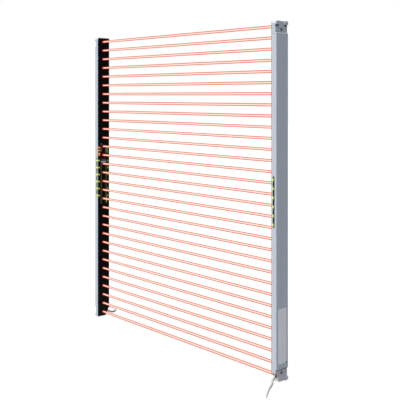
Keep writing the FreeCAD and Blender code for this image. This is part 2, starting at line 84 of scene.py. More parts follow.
def place(tree, stretch=(1, 1, 1)):
    spot = tree.nodes.new("ShaderNodeTexCoord")
    mapping = tree.nodes.new("ShaderNodeMapping")
    mapping.inputs["Scale"].default_value = stretch
    tree.links.new(spot.outputs["Object"], mapping.inputs["Vector"])
    return mapping.outputs["Vector"]


def grain(tree, vector, scale, detail=3.0, roughness=0.5):
    noise = tree.nodes.new("ShaderNodeTexNoise")
    noise.inputs["Scale"].default_value = scale
    noise.inputs["Detail"].default_value = detail
    noise.inputs["Roughness"].default_value = roughness
    tree.links.new(vector, noise.inputs["Vector"])
    return noise.outputs["Fac"]


def ramp(tree, factor, stops):
    node = tree.nodes.new("ShaderNodeValToRGB")
    points = node.color_ramp.elements
    while len(points) < len(stops):
        points.new(0.5)
    for point, (at, colour) in zip(points, stops):
        point.position = at
        point.color = (*colour, 1)
    tree.links.new(factor, node.inputs["Fac"])
    return node.outputs["Color"]


def sums(tree, kind, first, second=None, clamp=False):
    node = tree.nodes.new("ShaderNodeMath")
    node.operation = kind
    node.use_clamp = clamp
    for socket, value in zip(node.inputs, (first, second)):
        if value is not None:
            feed(tree, socket, value)
    return node.outputs["Value"]


def plus(tree, first, second):
    return sums(tree, "ADD", first, second)


def minus(tree, first, second, clamp=False):
    return sums(tree, "SUBTRACT", first, second, clamp)


def times(tree, first, second, clamp=False):
    return sums(tree, "MULTIPLY", first, second, clamp)


def unsigned(tree, value):
    return sums(tree, "ABSOLUTE", value)


def above(tree, value, limit):
    return sums(tree, "GREATER_THAN", value, limit)


def below(tree, value, limit):
    return sums(tree, "LESS_THAN", value, limit)


def distance(tree, first, second):
    return sums(tree, "SQRT", plus(tree, times(tree, first, first), times(tree, second, second)))


def rough(tree, shader, factor, low, high):
    node = tree.nodes.new("ShaderNodeMapRange")
    node.inputs["To Min"].default_value = low
    node.inputs["To Max"].default_value = high
    tree.links.new(factor, node.inputs["Value"])
    tree.links.new(node.outputs["Result"], shader.inputs["Roughness"])


def dents(tree, shader, height, strength, depth):
    node = tree.nodes.new("ShaderNodeBump")
    node.inputs["Strength"].default_value = strength
    node.inputs["Distance"].default_value = depth
    tree.links.new(height, node.inputs["Height"])
    tree.links.new(node.outputs["Normal"], shader.inputs["Normal"])


def cellDistance(tree, scale, kind="EUCLIDEAN"):
    cells = tree.nodes.new("ShaderNodeTexVoronoi")
    cells.distance = kind
    cells.inputs["Scale"].default_value = scale
    tree.links.new(place(tree), cells.inputs["Vector"])
    return cells.outputs["Distance"]


def axes(tree):
    spot = tree.nodes.new("ShaderNodeTexCoord")
    split = tree.nodes.new("ShaderNodeSeparateXYZ")
    tree.links.new(spot.outputs["Object"], split.inputs["Vector"])
    return split.outputs["X"], split.outputs["Y"], split.outputs["Z"]


def across(tree, x, y):
    # Place across a bar, the same way round on both bars as seen from their windows
    return times(tree, times(tree, sums(tree, "SIGN", x), y), -1.0)


def near(tree, value, low, high, soft):
    # 1 between two places in millimetres, with soft ends
    away = unsigned(tree, minus(tree, value, (low + high) / 2 * mm))
    inside = minus(tree, ((high - low) / 2 + soft / 2) * mm, away)
    return sums(tree, "DIVIDE", inside, soft * mm, clamp=True)


def patch(tree, first, second, at, soft):
    # 1 inside a rectangle with soft edges
    return times(tree, near(tree, first, at[0], at[1], soft), near(tree, second, at[2], at[3], soft))


def paint(tree, mask, under, over):
    # One colour over another where the mask is 1. Sockets 0, 6 and 7 are the factor and the colours
    node = tree.nodes.new("ShaderNodeMix")
    node.data_type = "RGBA"
    for socket, value in ((node.inputs[0], mask), (node.inputs[6], under), (node.inputs[7], over)):
        feed(tree, socket, value)
    return node.outputs[2]


def glow(tree, shader, colour, strength):
    feed(tree, shader.inputs["Emission Color"], colour)
    feed(tree, shader.inputs["Emission Strength"], strength)


def rowDistance(tree, height, first, pitch):
    # Difference in height to the nearest of a row of lamps or beams, in metres
    raised = plus(tree, height, (pitch / 2 - first) * mm)
    inStep = sums(tree, "FLOORED_MODULO", raised, pitch * mm)
    return unsigned(tree, minus(tree, inStep, pitch / 2 * mm))


def beamDistance(tree, y, z, squeeze=1.0):
    # Distance to the nearest beam's axis
    up = times(tree, rowDistance(tree, z, layout["beamStart"], layout["beamPitch"]), squeeze)
    return distance(tree, up, y)


def lampGlow(tree, reach, width):
    # 1 at the middle of each side lamp, falling to 0 at its edge
    x, y, z = axes(tree)
    onReceiver = above(tree, x, 0.0)
    toWindow, up = [times(tree, onReceiver, shift * mm) for shift in layout["receiverLamps"]]
    z = minus(tree, z, up)
    along = sums(tree, "DIVIDE", rowDistance(tree, z, firstLamp, layout["lampPitch"]), reach * mm)
    fromLine = minus(tree, plus(tree, unsigned(tree, x), toWindow), layout["lampLine"] * mm)
    sideways = sums(tree, "DIVIDE", fromLine, width * mm)
    close = minus(tree, 1.0, distance(tree, along, sideways), clamp=True)
    half = (layout["lampCount"] / 2) * layout["lampPitch"]
    inRow = below(tree, unsigned(tree, minus(tree, z, layout["lampMiddle"] * mm)), half * mm)
    return times(tree, close, inRow)


# Mottling that most finishes share

mottling = {"detail": 4.0, "roughness": 0.55, "darkAt": 0.3, "paleAt": 0.7, "glossLow": 0.85,
            "glossHigh": 1.15, "fineScale": 6, "fineDetail": 3.0, "dents": 0.3}


def mottle(tree, factor, look):
    return ramp(tree, factor, [(mottling["darkAt"], look["dark"]), (mottling["paleAt"], look["pale"])])


def speckled(name, look):
    # A finish with soft mottling, a little uneven gloss and a fine surface
    roughness, scale = look["roughness"], look["scale"]
    mat, tree, shader = newMaterial(name, roughness, look.get("metallic", 0.0), look.get("specular", 0.5))
    stretch = look.get("stretch", (1, 1, 1))
    spots = grain(tree, place(tree, stretch), scale, mottling["detail"], mottling["roughness"])
    setColour(tree, shader, mottle(tree, spots, look))
    rough(tree, shader, spots, roughness * mottling["glossLow"], min(1.0, roughness * mottling["glossHigh"]))
    fine = grain(tree, place(tree, stretch), scale * mottling["fineScale"], mottling["fineDetail"])
    dents(tree, shader, fine, mottling["dents"], look["depth"])
    return mat


# Housing: extruded and lacquered aluminium

casing = {
    "dark": (0.475, 0.520, 0.582), "pale": (0.515, 0.560, 0.625), "roughness": 0.45, "metallic": 0.05,
    "roughLow": 0.40, "roughHigh": 0.52,
    "drawn": (900, 900, 14), "lineScale": 1.0, "lineDetail": 4.0, "lineRoughness": 0.6, "lineShare": 0.6,
    "cloudScale": 22.0, "cloudDetail": 2.0, "cloudShare": 0.4,
    "speckle": 1400, "speckleDetail": 2.0, "speckleShare": 0.5, "dents": 0.1, "depth": 0.00002,
    "lip": (0.006, 0.007, 0.008), "lipDepth": 0.7, "lipEnds": (-1, 636.5), "lipSoft": 0.2,
    "spill": (0.68, 0.77, 0.28), "spillReach": 6.5, "spillWidth": 6.5,
    "paintedStripShadow": (0.05, 0.056, 0.042), "paintedStripShadowAt": (276.2, 277.2, 272.4, 363.6), "paintedStripShadowSoft": 0.2,
    "hole": (0.030, 0.024, 0.024), "holeAt": (-11.0, 32.4), "holeRadius": 1.55, "holeFrom": 278,
}


def frontLip(tree, base):
    # The thin edge beside the window is as black as the window
    x, y, z = axes(tree)
    out = below(tree, unsigned(tree, x), (casing["lipDepth"] + layout["windowAt"]) * mm)
    out = times(tree, out, near(tree, z, *casing["lipEnds"], casing["lipSoft"]))
    return paint(tree, out, base, casing["lip"])


def cornerHole(tree, base):
    # Painted shade of a small hole at a lower corner of the label plate, on the back of a bar; the hole is
    # not modelled
    x, y, z = axes(tree)
    side = minus(tree, across(tree, x, y), casing["holeAt"][0] * mm)
    up = minus(tree, z, casing["holeAt"][1] * mm)
    hole = below(tree, distance(tree, side, up), casing["holeRadius"] * mm)
    hole = times(tree, hole, above(tree, unsigned(tree, x), casing["holeFrom"] * mm))
    return paint(tree, hole, base, casing["hole"])


def paintedStripShadow(tree, base):
    # Painted shadow: a dark line behind the receiver's light strip
    x, y, z = axes(tree)
    gap = patch(tree, x, z, casing["paintedStripShadowAt"], casing["paintedStripShadowSoft"])
    return paint(tree, gap, base, casing["paintedStripShadow"])


def drawnCasing():
    # Fine lines along its length, and the side lamps' light on it
    mat, tree, shader = newMaterial("drawn_casing", casing["roughness"], casing["metallic"])
    lines = grain(tree, place(tree, casing["drawn"]), casing["lineScale"], casing["lineDetail"],
                  casing["lineRoughness"])
    cloud = grain(tree, place(tree), casing["cloudScale"], casing["cloudDetail"])
    mixed = plus(tree, times(tree, lines, casing["lineShare"]), times(tree, cloud, casing["cloudShare"]))
    spill = lampGlow(tree, casing["spillReach"], casing["spillWidth"])
    base = paint(tree, spill, mottle(tree, mixed, casing), casing["spill"])
    setColour(tree, shader, cornerHole(tree, frontLip(tree, paintedStripShadow(tree, base))))
    rough(tree, shader, lines, casing["roughLow"], casing["roughHigh"])
    fine = grain(tree, place(tree), casing["speckle"], casing["speckleDetail"])
    surface = plus(tree, lines, times(tree, fine, casing["speckleShare"]))
    dents(tree, shader, surface, casing["dents"], casing["depth"])
    return mat


# End caps: moulded and painted

cap = {
    "dark": (0.468, 0.518, 0.592), "pale": (0.512, 0.562, 0.640), "roughness": 0.5,
    "roughLow": 0.42, "roughHigh": 0.58, "cloudScale": 45.0, "cloudDetail": 3.0,
    "texture": 2600, "dents": 0.3, "depth": 0.00003, "crisp": 0.1,
    "foot": (0.650, 0.625, 0.710), "footAt": (-60, 17), "footSoft": 22, "footFrom": 279,
    "topRimHighlight": (0.82, 0.85, 0.89), "topRimHighlightAt": (634.2, 650, 15.35, 16), "topRimHighlightSoft": 0.2,
    "slope": (279.45, 281.45), "stepShade": (0.055, 0.055, 0.065), "stepShadeAt": (20.4, 22.8),
    "stepLit": (0.52, 0.56, 0.61), "stepLitAt": (615.2, 617.6),
    "slotPlane": 279.4, "raised": 0.3, "sunk": 1.2,
    "earSideLight": (0.68, 0.73, 0.79), "earInner": 7.5, "earSideLightHalf": 0.2,
    "shade": (0.055, 0.060, 0.068), "slot": (7.3, 15.45, 628.0, 631.2), "slotSoft": 0.4,
    "shadeAroundInsert": (0.12, 0.10, 0.055), "insertReach": 3.3, "inserts": (15.4, 622.6),
    "rim": (0.50, 0.47, 0.41), "rimAt": (15.4, 17.8), "rimSoft": 0.6, "rimSide": (15.3, 15.8),
    "pocketFoot": 5.6, "pocketLean": 0.5317, "pocketSkin": 0.25, "pocketTop": 15.9,
    "pocketAt": (271.0, 281.3), "pocketSoft": 0.2,
    "cream": (0.62, 0.58, 0.50), "creamGlow": (0.24, 0.225, 0.19), "creamAt": (-5, 11.0), "creamSoft": 0.8,
}


def insertDistance(tree, y, z):
    # Distance to the axis of the nearer brass insert
    up = [unsigned(tree, minus(tree, z, height * mm)) for height in cap["inserts"]]
    return distance(tree, sums(tree, "MINIMUM", *up), y)


def capPaintedLightAndShade(tree, base):
    # Painted light and shade on the caps: lighter backs low down, a highlight on the top rim, shade on the
    # bottom cap's step and light on the top cap's, light on the ears' inner sides, and shade in the slots
    # and round the inserts
    x, y, z = axes(tree)
    outward, wide = unsigned(tree, x), unsigned(tree, y)
    # Painted light: the caps' backs are lighter low down
    foot = near(tree, z, *cap["footAt"], cap["footSoft"])
    foot = times(tree, foot, above(tree, outward, cap["footFrom"] * mm))
    base = paint(tree, foot, base, cap["foot"])
    # Painted highlight along the top edge of the caps' side faces
    base = paint(tree, patch(tree, z, wide, cap["topRimHighlightAt"], cap["topRimHighlightSoft"]), base, cap["topRimHighlight"])
    # Painted shade on the bottom cap's step and painted light on the top cap's step
    onSlope = near(tree, outward, *cap["slope"], cap["crisp"])
    for step in ("stepShade", "stepLit"):
        level = near(tree, z, *cap[step + "At"], cap["crisp"])
        base = paint(tree, times(tree, onSlope, level), base, cap[step])
    # Painted light on the inner side of each ear
    raised = above(tree, outward, (cap["slotPlane"] + cap["raised"]) * mm)
    inner, half = cap["earInner"], cap["earSideLightHalf"]
    earSideLight = times(tree, raised, near(tree, wide, inner - half, inner + half, cap["crisp"]))
    base = paint(tree, earSideLight, base, cap["earSideLight"])
    # Painted shade in the slots under the ears
    sunk = above(tree, outward, (cap["slotPlane"] - cap["sunk"]) * mm)
    slot = times(tree, patch(tree, wide, z, cap["slot"], cap["slotSoft"]), sunk)
    base = paint(tree, slot, base, cap["shade"])
    # Painted shade round the inserts
    ring = below(tree, insertDistance(tree, y, z), cap["insertReach"] * mm)
    return paint(tree, times(tree, ring, sunk), base, cap["shadeAroundInsert"])


def cablePocket(tree, shader, base):
    # The pocket's pale rim, painted shade on its leaning wall, and cream low down in the pocket, brightened
    # by a painted glow
    x, y, z = axes(tree)
    side = across(tree, x, y)
    rim = near(tree, z, *cap["rimAt"], cap["rimSoft"])
    rim = times(tree, rim, near(tree, side, *cap["rimSide"], cap["crisp"]))
    base = paint(tree, rim, base, cap["rim"])
    # Painted shade on the pocket's leaning wall
    wall = plus(tree, times(tree, z, cap["pocketLean"]), (cap["pocketFoot"] - cap["pocketSkin"]) * mm)
    inPocket = times(tree, above(tree, side, wall), below(tree, z, cap["pocketTop"] * mm))
    inPocket = times(tree, inPocket, near(tree, unsigned(tree, x), *cap["pocketAt"], cap["pocketSoft"]))
    # Cream low in the pocket, brightened by a painted glow
    low = near(tree, z, *cap["creamAt"], cap["creamSoft"])
    glow(tree, shader, paint(tree, times(tree, inPocket, low), black, cap["creamGlow"]), 1.0)
    return paint(tree, inPocket, base, paint(tree, low, cap["shade"], cap["cream"]))


def mouldedCap():
    # Spark eroded texture
    mat, tree, shader = newMaterial("moulded_cap", cap["roughness"])
    texture = cellDistance(tree, cap["texture"])
    cloud = grain(tree, place(tree), cap["cloudScale"], cap["cloudDetail"])
    base = cablePocket(tree, shader, capPaintedLightAndShade(tree, mottle(tree, cloud, cap)))
    setColour(tree, shader, frontLip(tree, base))
    rough(tree, shader, texture, cap["roughLow"], cap["roughHigh"])
    dents(tree, shader, texture, cap["dents"], cap["depth"])
    return mat


# Window. Its lights: place across the bar and height, softness, colour, later ones on top

greyTick = (0.050, 0.061, 0.076)
dimRed = (0.30, 0.008, 0.006)
orange = (1.3, 0.52, 0.012)
windowMarks = [
    ((-8.6, -5.1, 258.2, 350.0), 0.6, (0.036, 0.045, 0.0110)),   # olive bands beside the optics
    ((4.5, 9.3, 258.2, 348.5), 0.6, (0.027, 0.033, 0.0085)),
    ((11.2, 15.5, 272.0, 357.5), 1.2, (0.0085, 0.012, 0.0045)),
    ((-9.2, -4.6, 393.0, 395.4), 0.8, (0.078, 0.090, 0.105)),    # pale ticks beside the status lights
    ((-8.6, -4.9, 376.6, 387.6), 0.8, greyTick),
    ((4.3, 7.7, 374.6, 385.6), 0.8, greyTick),
    ((-15.5, -9.9, 367.9, 389.9), 0.7, dimRed),                  # orange lights
    ((-15.5, -9.9, 385.8, 387.5), 1.0, orange),
    ((-15.5, -9.9, 378.9, 380.6), 1.0, orange),
    ((-15.5, -9.9, 372.0, 373.7), 1.0, orange),
    ((-15.5, -9.9, 368.0, 370.8), 1.0, (1.0, 0.25, 0.011)),
    ((7.7, 11.8, 373.3, 385.2), 0.8, (0.085, 0.150, 0.011)),     # green light
    ((6.8, 9.4, 260.0, 274.6), 0.9, (0.205, 0.250, 0.029)),      # small green light
    ((-7.3, 6.5, 359.5, 362.2), 0.6, (0.032, 0.0025, 0.0035)),   # display, dark at the top
    ((-7.3, 6.5, 352.0, 359.5), 0.6, (0.050, 0.034, 0.045)),
    ((-7.3, 6.5, 352.0, 357.2), 0.7, (0.046, 0.057, 0.078)),
    ((-7.3, 6.5, 352.0, 355.0), 0.6, (0.210, 0.243, 0.290)),
]
# Rows of side lamps as seen through the window: place across, drop, colour
windowLamps = [((-16, -11.2), 0, (0.60, 0.70, 0.085)), ((9.3, 12.6), 1.1, (0.190, 0.300, 0.014)),
               ((12.6, 16), 1.1, (0.080, 0.115, 0.020))]
window = {
    "dark": (0.0013, 0.0016, 0.0018), "pale": (0.0022, 0.0026, 0.0030), "scale": 60.0, "roughness": 0.22,
    "depth": 0.000001, "specular": 0.03,
    "foot": (0.0052, 0.0058, 0.0060), "footAt": (-300, 20), "footSoft": 160,
    "lampHigh": 1.3, "lampSoft": 1.6, "lampSideSoft": 0.8, "rowEnds": 6, "rowSoft": 1.0,
    "clearWidth": 4.5, "clearSqueeze": 1.4, "clearSoft": 0.3,
}


def smokedWindow():
    # Black pane, clear over each lens, with the status lights and display shining through, and a faint
    # painted light low down
    mat = speckled("smoked_window", window)
    tree, shader = opened(mat)
    x, y, z = axes(tree)
    side = across(tree, x, y)
    # Painted light: a faint glow on the pane, brighter towards the floor
    lights = paint(tree, near(tree, z, *window["footAt"], window["footSoft"]), black, window["foot"])
    for at, soft, colour in windowMarks:
        lights = paint(tree, patch(tree, side, z, at, soft), lights, colour)
    lastLamp = firstLamp + (layout["lampCount"] - 1) * layout["lampPitch"]
    for at, drop, colour in windowLamps:
        level = rowDistance(tree, z, firstLamp - drop, layout["lampPitch"])
        level = near(tree, level, -window["lampHigh"], window["lampHigh"], window["lampSoft"])
        ends = near(tree, z, firstLamp - window["rowEnds"], lastLamp + window["rowEnds"], window["rowSoft"])
        lamp = times(tree, times(tree, level, ends), near(tree, side, *at, window["lampSideSoft"]))
        lights = paint(tree, lamp, lights, colour)
    glow(tree, shader, lights, 1.0)
    close = minus(tree, window["clearWidth"] * mm, beamDistance(tree, y, z, window["clearSqueeze"]))
    clear = sums(tree, "DIVIDE", close, window["clearSoft"] * mm, clamp=True)
    tree.links.new(minus(tree, 1.0, clear), shader.inputs["Alpha"])
    return mat


lens = {"dark": (0.02, 0.004, 0.004), "pale": (0.05, 0.008, 0.008), "scale": 150.0, "roughness": 0.12,
        "depth": 0.000003, "specular": 0.1, "glow": (0.60, 0.042, 0.012), "radius": 2.9, "soft": 0.5}


def litLens():
    # Tinted lens strip, with a red light in each lens
    mat = speckled("tinted_lens", lens)
    tree, shader = opened(mat)
    x, y, z = axes(tree)
    inLens = minus(tree, lens["radius"] * mm, beamDistance(tree, y, z))
    glow(tree, shader, lens["glow"], sums(tree, "DIVIDE", inLens, lens["soft"] * mm, clamp=True))
    return mat


brass = {"dark": (0.13, 0.098, 0.030), "pale": (0.28, 0.215, 0.065), "roughness": 0.4, "metallic": 0.45,
         "scale": 900.0, "fineScale": 3000.0, "dents": 0.3, "depth": 0.00001,
         "bore": (0.008, 0.007, 0.005), "boreRadius": 1.5}


def turnedBrass():
    # Brass round a bore in painted shade
    mat, tree, shader = newMaterial("turned_brass", brass["roughness"], brass["metallic"])
    x, y, z = axes(tree)
    turned = mottle(tree, grain(tree, place(tree), brass["scale"]), brass)
    # Painted shade in the bore
    inBore = below(tree, insertDistance(tree, y, z), brass["boreRadius"] * mm)
    setColour(tree, shader, paint(tree, inBore, turned, brass["bore"]))
    dents(tree, shader, grain(tree, place(tree), brass["fineScale"]), brass["dents"], brass["depth"])
    return mat


plate = {"dark": (0.770, 0.760, 0.820), "pale": (0.850, 0.840, 0.905), "scale": 240.0, "roughness": 0.38,
         "depth": 0.000008, "metallic": 0.1, "stretch": (1, 1, 0.15)}


def satinPlate():
    # Bare label plate, with the painted shade of a small hole at one corner
    mat = speckled("satin_plate", plate)
    tree, shader = opened(mat)
    setColour(tree, shader, cornerHole(tree, colourSoFar(shader)))
    return mat


bush = {"dark": (0.60, 0.60, 0.61), "pale": (0.74, 0.74, 0.75), "scale": 420.0, "roughness": 0.6,
        "depth": 0.00004, "shade": (0.10, 0.085, 0.075), "shadeAt": (276.8, 290), "shadeSoft": 1.0,
        "creamAt": (-5, 9.3), "creamSoft": 0.8}


def strainRelief():
    # Pale flexible moulding. Its back has painted shade, with the cap's cream low down, brightened by a
    # painted glow
    mat = speckled("pale_bush", bush)
    tree, shader = opened(mat)
    x, y, z = axes(tree)
    # Painted shade on the back, with a painted glow on the cream low down
    behind = near(tree, unsigned(tree, x), *bush["shadeAt"], bush["shadeSoft"])
    low = near(tree, z, *bush["creamAt"], bush["creamSoft"])
    inPocket = paint(tree, low, bush["shade"], cap["cream"])
    setColour(tree, shader, paint(tree, behind, colourSoFar(shader), inPocket))
    glow(tree, shader, paint(tree, times(tree, behind, low), black, cap["creamGlow"]), 1.0)
    return mat


sideGuide = {
    "emitter": {"dark": (0.045, 0.052, 0.022), "pale": (0.085, 0.098, 0.045), "specular": 0.5,
                "rimTo": 271.0},
    "receiver": {"dark": (0.016, 0.020, 0.007), "pale": (0.034, 0.040, 0.016), "specular": 0.02,
                 "rimTo": 272.7},
    "both": {"scale": 300.0, "roughness": 0.35, "depth": 0.00001},
    "rim": (0.47, 0.52, 0.56), "rimGlow": (0.21, 0.23, 0.01), "dimGlow": (0.10, 0.14, 0.02),
    "glow": (0.62, 0.80, 0.05), "glowAt": 0.6, "reach": 4.0, "width": 3.2, "falloff": 0.8, "strength": 1.6,
}


def oliveGuide(bar):
    # Olive diffuser, lit where a lamp stands behind it. The receiver's has a pale front rim, and the
    # emitter's has none, because its rim would end in front of the strip
    look = {**sideGuide["both"], **sideGuide[bar]}
    mat = speckled(bar + "_olive_guide", look)
    tree, shader = opened(mat)
    x, y, z = axes(tree)
    rim = below(tree, unsigned(tree, x), look["rimTo"] * mm)
    setColour(tree, shader, paint(tree, rim, colourSoFar(shader), sideGuide["rim"]))
    lit = lampGlow(tree, sideGuide["reach"], sideGuide["width"])
    colour = ramp(tree, lit, [(0.0, sideGuide["dimGlow"]), (sideGuide["glowAt"], sideGuide["glow"])])
    strength = times(tree, sums(tree, "POWER", lit, sideGuide["falloff"]), sideGuide["strength"])
    glow(tree, shader, paint(tree, rim, colour, sideGuide["rimGlow"]), strength)
    return mat


sideLamp = {"dark": (0.5, 0.55, 0.1), "pale": (0.75, 0.8, 0.2), "scale": 900.0, "roughness": 0.3,
            "depth": 0.00001, "hotScale": 700.0, "hotDetail": 1.0, "glow": (0.55, 0.80, 0.03),
            "hotGlow": (0.8, 0.95, 0.15), "glowAt": 0.3, "hotAt": 0.8, "strength": 11.0}


def lampChip():
    mat = speckled("lamp_chip", sideLamp)
    tree, shader = opened(mat)
    hot = grain(tree, place(tree), sideLamp["hotScale"], sideLamp["hotDetail"])
    colour = ramp(tree, hot, [(sideLamp["glowAt"], sideLamp["glow"]),
                              (sideLamp["hotAt"], sideLamp["hotGlow"])])
    glow(tree, shader, colour, sideLamp["strength"])
    return mat


status = {"dark": (0.3, 0.3, 0.25), "pale": (0.5, 0.5, 0.4), "scale": 400.0, "roughness": 0.35,
          "depth": 0.00001, "orangeFirst": 371.4, "orangePitch": 7.2, "orange": (1.0, 0.30, 0.012),
          "orangeAt": 0.35, "red": (0.28, 0.002, 0.004), "redAt": 0.8, "green": (0.16, 0.34, 0.012),
          "greenAt": 0.2, "brightAt": 0.8, "brighter": 1.4, "leafScale": 200.0, "leafDetail": 2.0,
          "strength": 11.0}


def statusPipe(bar):
    # Orange lamps in a row on one side of the window, plain green bars on the other
    mat = speckled(bar + "_status_pipe", status)
    tree, shader = opened(mat)
    x, y, z = axes(tree)
    away = rowDistance(tree, z, status["orangeFirst"], status["orangePitch"])
    away = sums(tree, "DIVIDE", away, status["orangePitch"] / 2 * mm)
    warm = ramp(tree, away, [(status["orangeAt"], status["orange"]), (status["redAt"], status["red"])])
    leaf = grain(tree, place(tree), status["leafScale"], status["leafDetail"])
    bright = tuple(status["brighter"] * c for c in status["green"])
    cool = ramp(tree, leaf, [(status["greenAt"], status["green"]), (status["brightAt"], bright)])
    greenSide = above(tree, times(tree, y, bars[bar]), 0.0)
    glow(tree, shader, paint(tree, greenSide, warm, cool), status["strength"])
    return mat


display = {"dark": (0.25, 0.26, 0.28), "pale": (0.36, 0.37, 0.40), "scale": 500.0, "roughness": 0.3,
           "depth": 0.00001, "low": 352.6, "high": 360.4, "lit": (0.34, 0.40, 0.48), "litAt": 0.1,
           "dim": (0.10, 0.12, 0.15), "dimAt": 0.9, "strength": 10.0}


def displayFace():
    # Brighter at its lower edge
    mat = speckled("display_face", display)
    tree, shader = opened(mat)
    x, y, z = axes(tree)
    up = tree.nodes.new("ShaderNodeMapRange")
    up.inputs["From Min"].default_value = display["low"] * mm
    up.inputs["From Max"].default_value = display["high"] * mm
    tree.links.new(z, up.inputs["Value"])
    stops = [(display["litAt"], display["lit"]), (display["dimAt"], display["dim"])]
    glow(tree, shader, ramp(tree, up.outputs["Result"], stops), display["strength"])
    return mat


board = {"dark": (0.010, 0.070, 0.030), "darkAt": 0.25, "pale": (0.020, 0.110, 0.050), "paleAt": 0.4,
         "roughness": 0.35, "tracks": 700.0, "dents": 0.2, "depth": 0.00003}


def circuitBoard():
    # Square cells stand for the tracks
    mat, tree, shader = newMaterial("circuit_board", board["roughness"])
    tracks = cellDistance(tree, board["tracks"], "MANHATTAN")
    setColour(tree, shader, ramp(tree, tracks, [(board["darkAt"], board["dark"]),
                                                (board["paleAt"], board["pale"])]))
    dents(tree, shader, tracks, board["dents"], board["depth"])
    return mat


jacket = {"dark": (0.60, 0.625, 0.67), "pale": (0.68, 0.705, 0.75), "scale": 260.0, "roughness": 0.5,
          "depth": 0.00003, "shade": (0.15, 0.135, 0.145), "shadeSide": (0.667, 0.745, -0.25),
          "shadeFrom": 0.42, "shadeGain": 2.2, "start": (0.50, 0.505, 0.53), "startAt": (-33, 0),
          "startSoft": 10}


def cableJacket():
    # Pale jacket, with painted shade on the side that faces away from the light, and painted shade where the
    # receiver's starts
    mat = speckled("cable_jacket", jacket)
    tree, shader = opened(mat)
    # Painted shade on the side facing away from the light
    shape = tree.nodes.new("ShaderNodeNewGeometry")
    facing = tree.nodes.new("ShaderNodeVectorMath")
    facing.operation = "DOT_PRODUCT"
    facing.inputs[1].default_value = jacket["shadeSide"]
    tree.links.new(shape.outputs["Normal"], facing.inputs[0])
    away = minus(tree, facing.outputs["Value"], jacket["shadeFrom"])
    away = times(tree, away, jacket["shadeGain"], clamp=True)
    x, y, z = axes(tree)
    # Painted shade along the start of the receiver's cable
    atStart = times(tree, near(tree, y, *jacket["startAt"], jacket["startSoft"]), above(tree, x, 0.0))
    base = paint(tree, atStart, colourSoFar(shader), jacket["start"])
    setColour(tree, shader, paint(tree, away, base, jacket["shade"]))
    return mat


# Pieces with a plain finish

plainLooks = {
    "gasket": {"name": "grey_gasket", "dark": (0.26, 0.285, 0.32), "pale": (0.33, 0.36, 0.40),
               "scale": 500.0, "roughness": 0.65, "depth": 0.00003},
    "holder": {"name": "black_holder", "dark": (0.006, 0.006, 0.007), "pale": (0.015, 0.015, 0.016),
               "scale": 700.0, "roughness": 0.6, "depth": 0.00003},
    "screw": {"name": "zinc_screw", "dark": (0.42, 0.43, 0.44), "pale": (0.62, 0.63, 0.65),
              "scale": 1200.0, "roughness": 0.3, "depth": 0.00001, "metallic": 0.9},
    "element": {"name": "dark_element", "dark": (0.02, 0.015, 0.02), "pale": (0.05, 0.04, 0.05),
                "scale": 600.0, "roughness": 0.2, "depth": 0.00001},
    "chip": {"name": "black_chip", "dark": (0.01, 0.01, 0.011), "pale": (0.03, 0.03, 0.03),
             "scale": 1600.0, "roughness": 0.55, "depth": 0.00002},
    "header": {"name": "cream_header", "dark": (0.50, 0.48, 0.40), "pale": (0.66, 0.64, 0.55),
               "scale": 500.0, "roughness": 0.5, "depth": 0.00002},
    "grip": {"name": "dark_grip", "dark": (0.030, 0.031, 0.034), "pale": (0.060, 0.061, 0.066),
             "scale": 900.0, "roughness": 0.62, "depth": 0.00005},
    "carrier": {"name": "black_carrier", "dark": (0.012, 0.012, 0.013), "pale": (0.03, 0.03, 0.032),
                "scale": 700.0, "roughness": 0.45, "depth": 0.00002},
    "pin": {"name": "gold_pin", "dark": (0.72, 0.52, 0.20), "pale": (0.85, 0.66, 0.30),
            "scale": 1500.0, "roughness": 0.2, "depth": 0.000005, "metallic": 1.0},
    "seal_ring": {"name": "green_ring", "dark": (0.02, 0.09, 0.035), "pale": (0.05, 0.15, 0.06),
                  "scale": 800.0, "roughness": 0.5, "depth": 0.00003},
    "nut": {"name": "nickel_nut", "dark": (0.50, 0.49, 0.46), "pale": (0.66, 0.65, 0.62),
            "scale": 1000.0, "roughness": 0.26, "depth": 0.00001, "metallic": 1.0},
}
finishes = {slot: speckled(look["name"], look) for slot, look in plainLooks.items()}
finishes.update({
    "casing": drawnCasing(), "end_cap": mouldedCap(), "insert": turnedBrass(), "plate": satinPlate(),
    "window": smokedWindow(), "lens": litLens(), "board": circuitBoard(), "lamp": lampChip(),
    "display": displayFace(), "bush": strainRelief(), "jacket": cableJacket(),
})

slotOf = {
    "housing": "casing", "top_cap": "end_cap", "bottom_cap": "end_cap", "cap_gaskets": "gasket",
    "mounting_inserts": "insert", "name_plate": "plate", "front_window": "window", "window_seal": "gasket",
    "lens_strip": "lens", "optics_holder": "holder", "holder_screws": "screw", "element_board": "board",
    "optical_elements": "element", "control_board": "board", "board_chips": "chip",
    "board_connector": "header", "indicator_lamps": "lamp", "display_plate": "display",
    "cable_bush": "bush", "connector_body": "grip", "connector_carrier": "carrier",
    "connector_pins": "pin", "connector_ring": "seal_ring", "coupling_nut": "nut", "cable": "jacket",
}
finishOfBar = {"status_light_pipes": statusPipe, "side_light_guides": oliveGuide}


def dress(node, mat):
    node.data.materials.clear()
    node.data.materials.append(mat)


for bar in bars:
    for piece, slot in slotOf.items():
        dress(nodes[bar + "_" + piece], finishes[slot])
    for piece, makeFinish in finishOfBar.items():
        dress(nodes[bar + "_" + piece], makeFinish(bar))
print("finishes on", len(bars) * (len(slotOf) + len(finishOfBar)), "nodes")


# Cables. The routes are the solids', but six of the receiver's points lie up to 2.3 mm beside them.
# A point is its offset from the exit along x and y, and its height

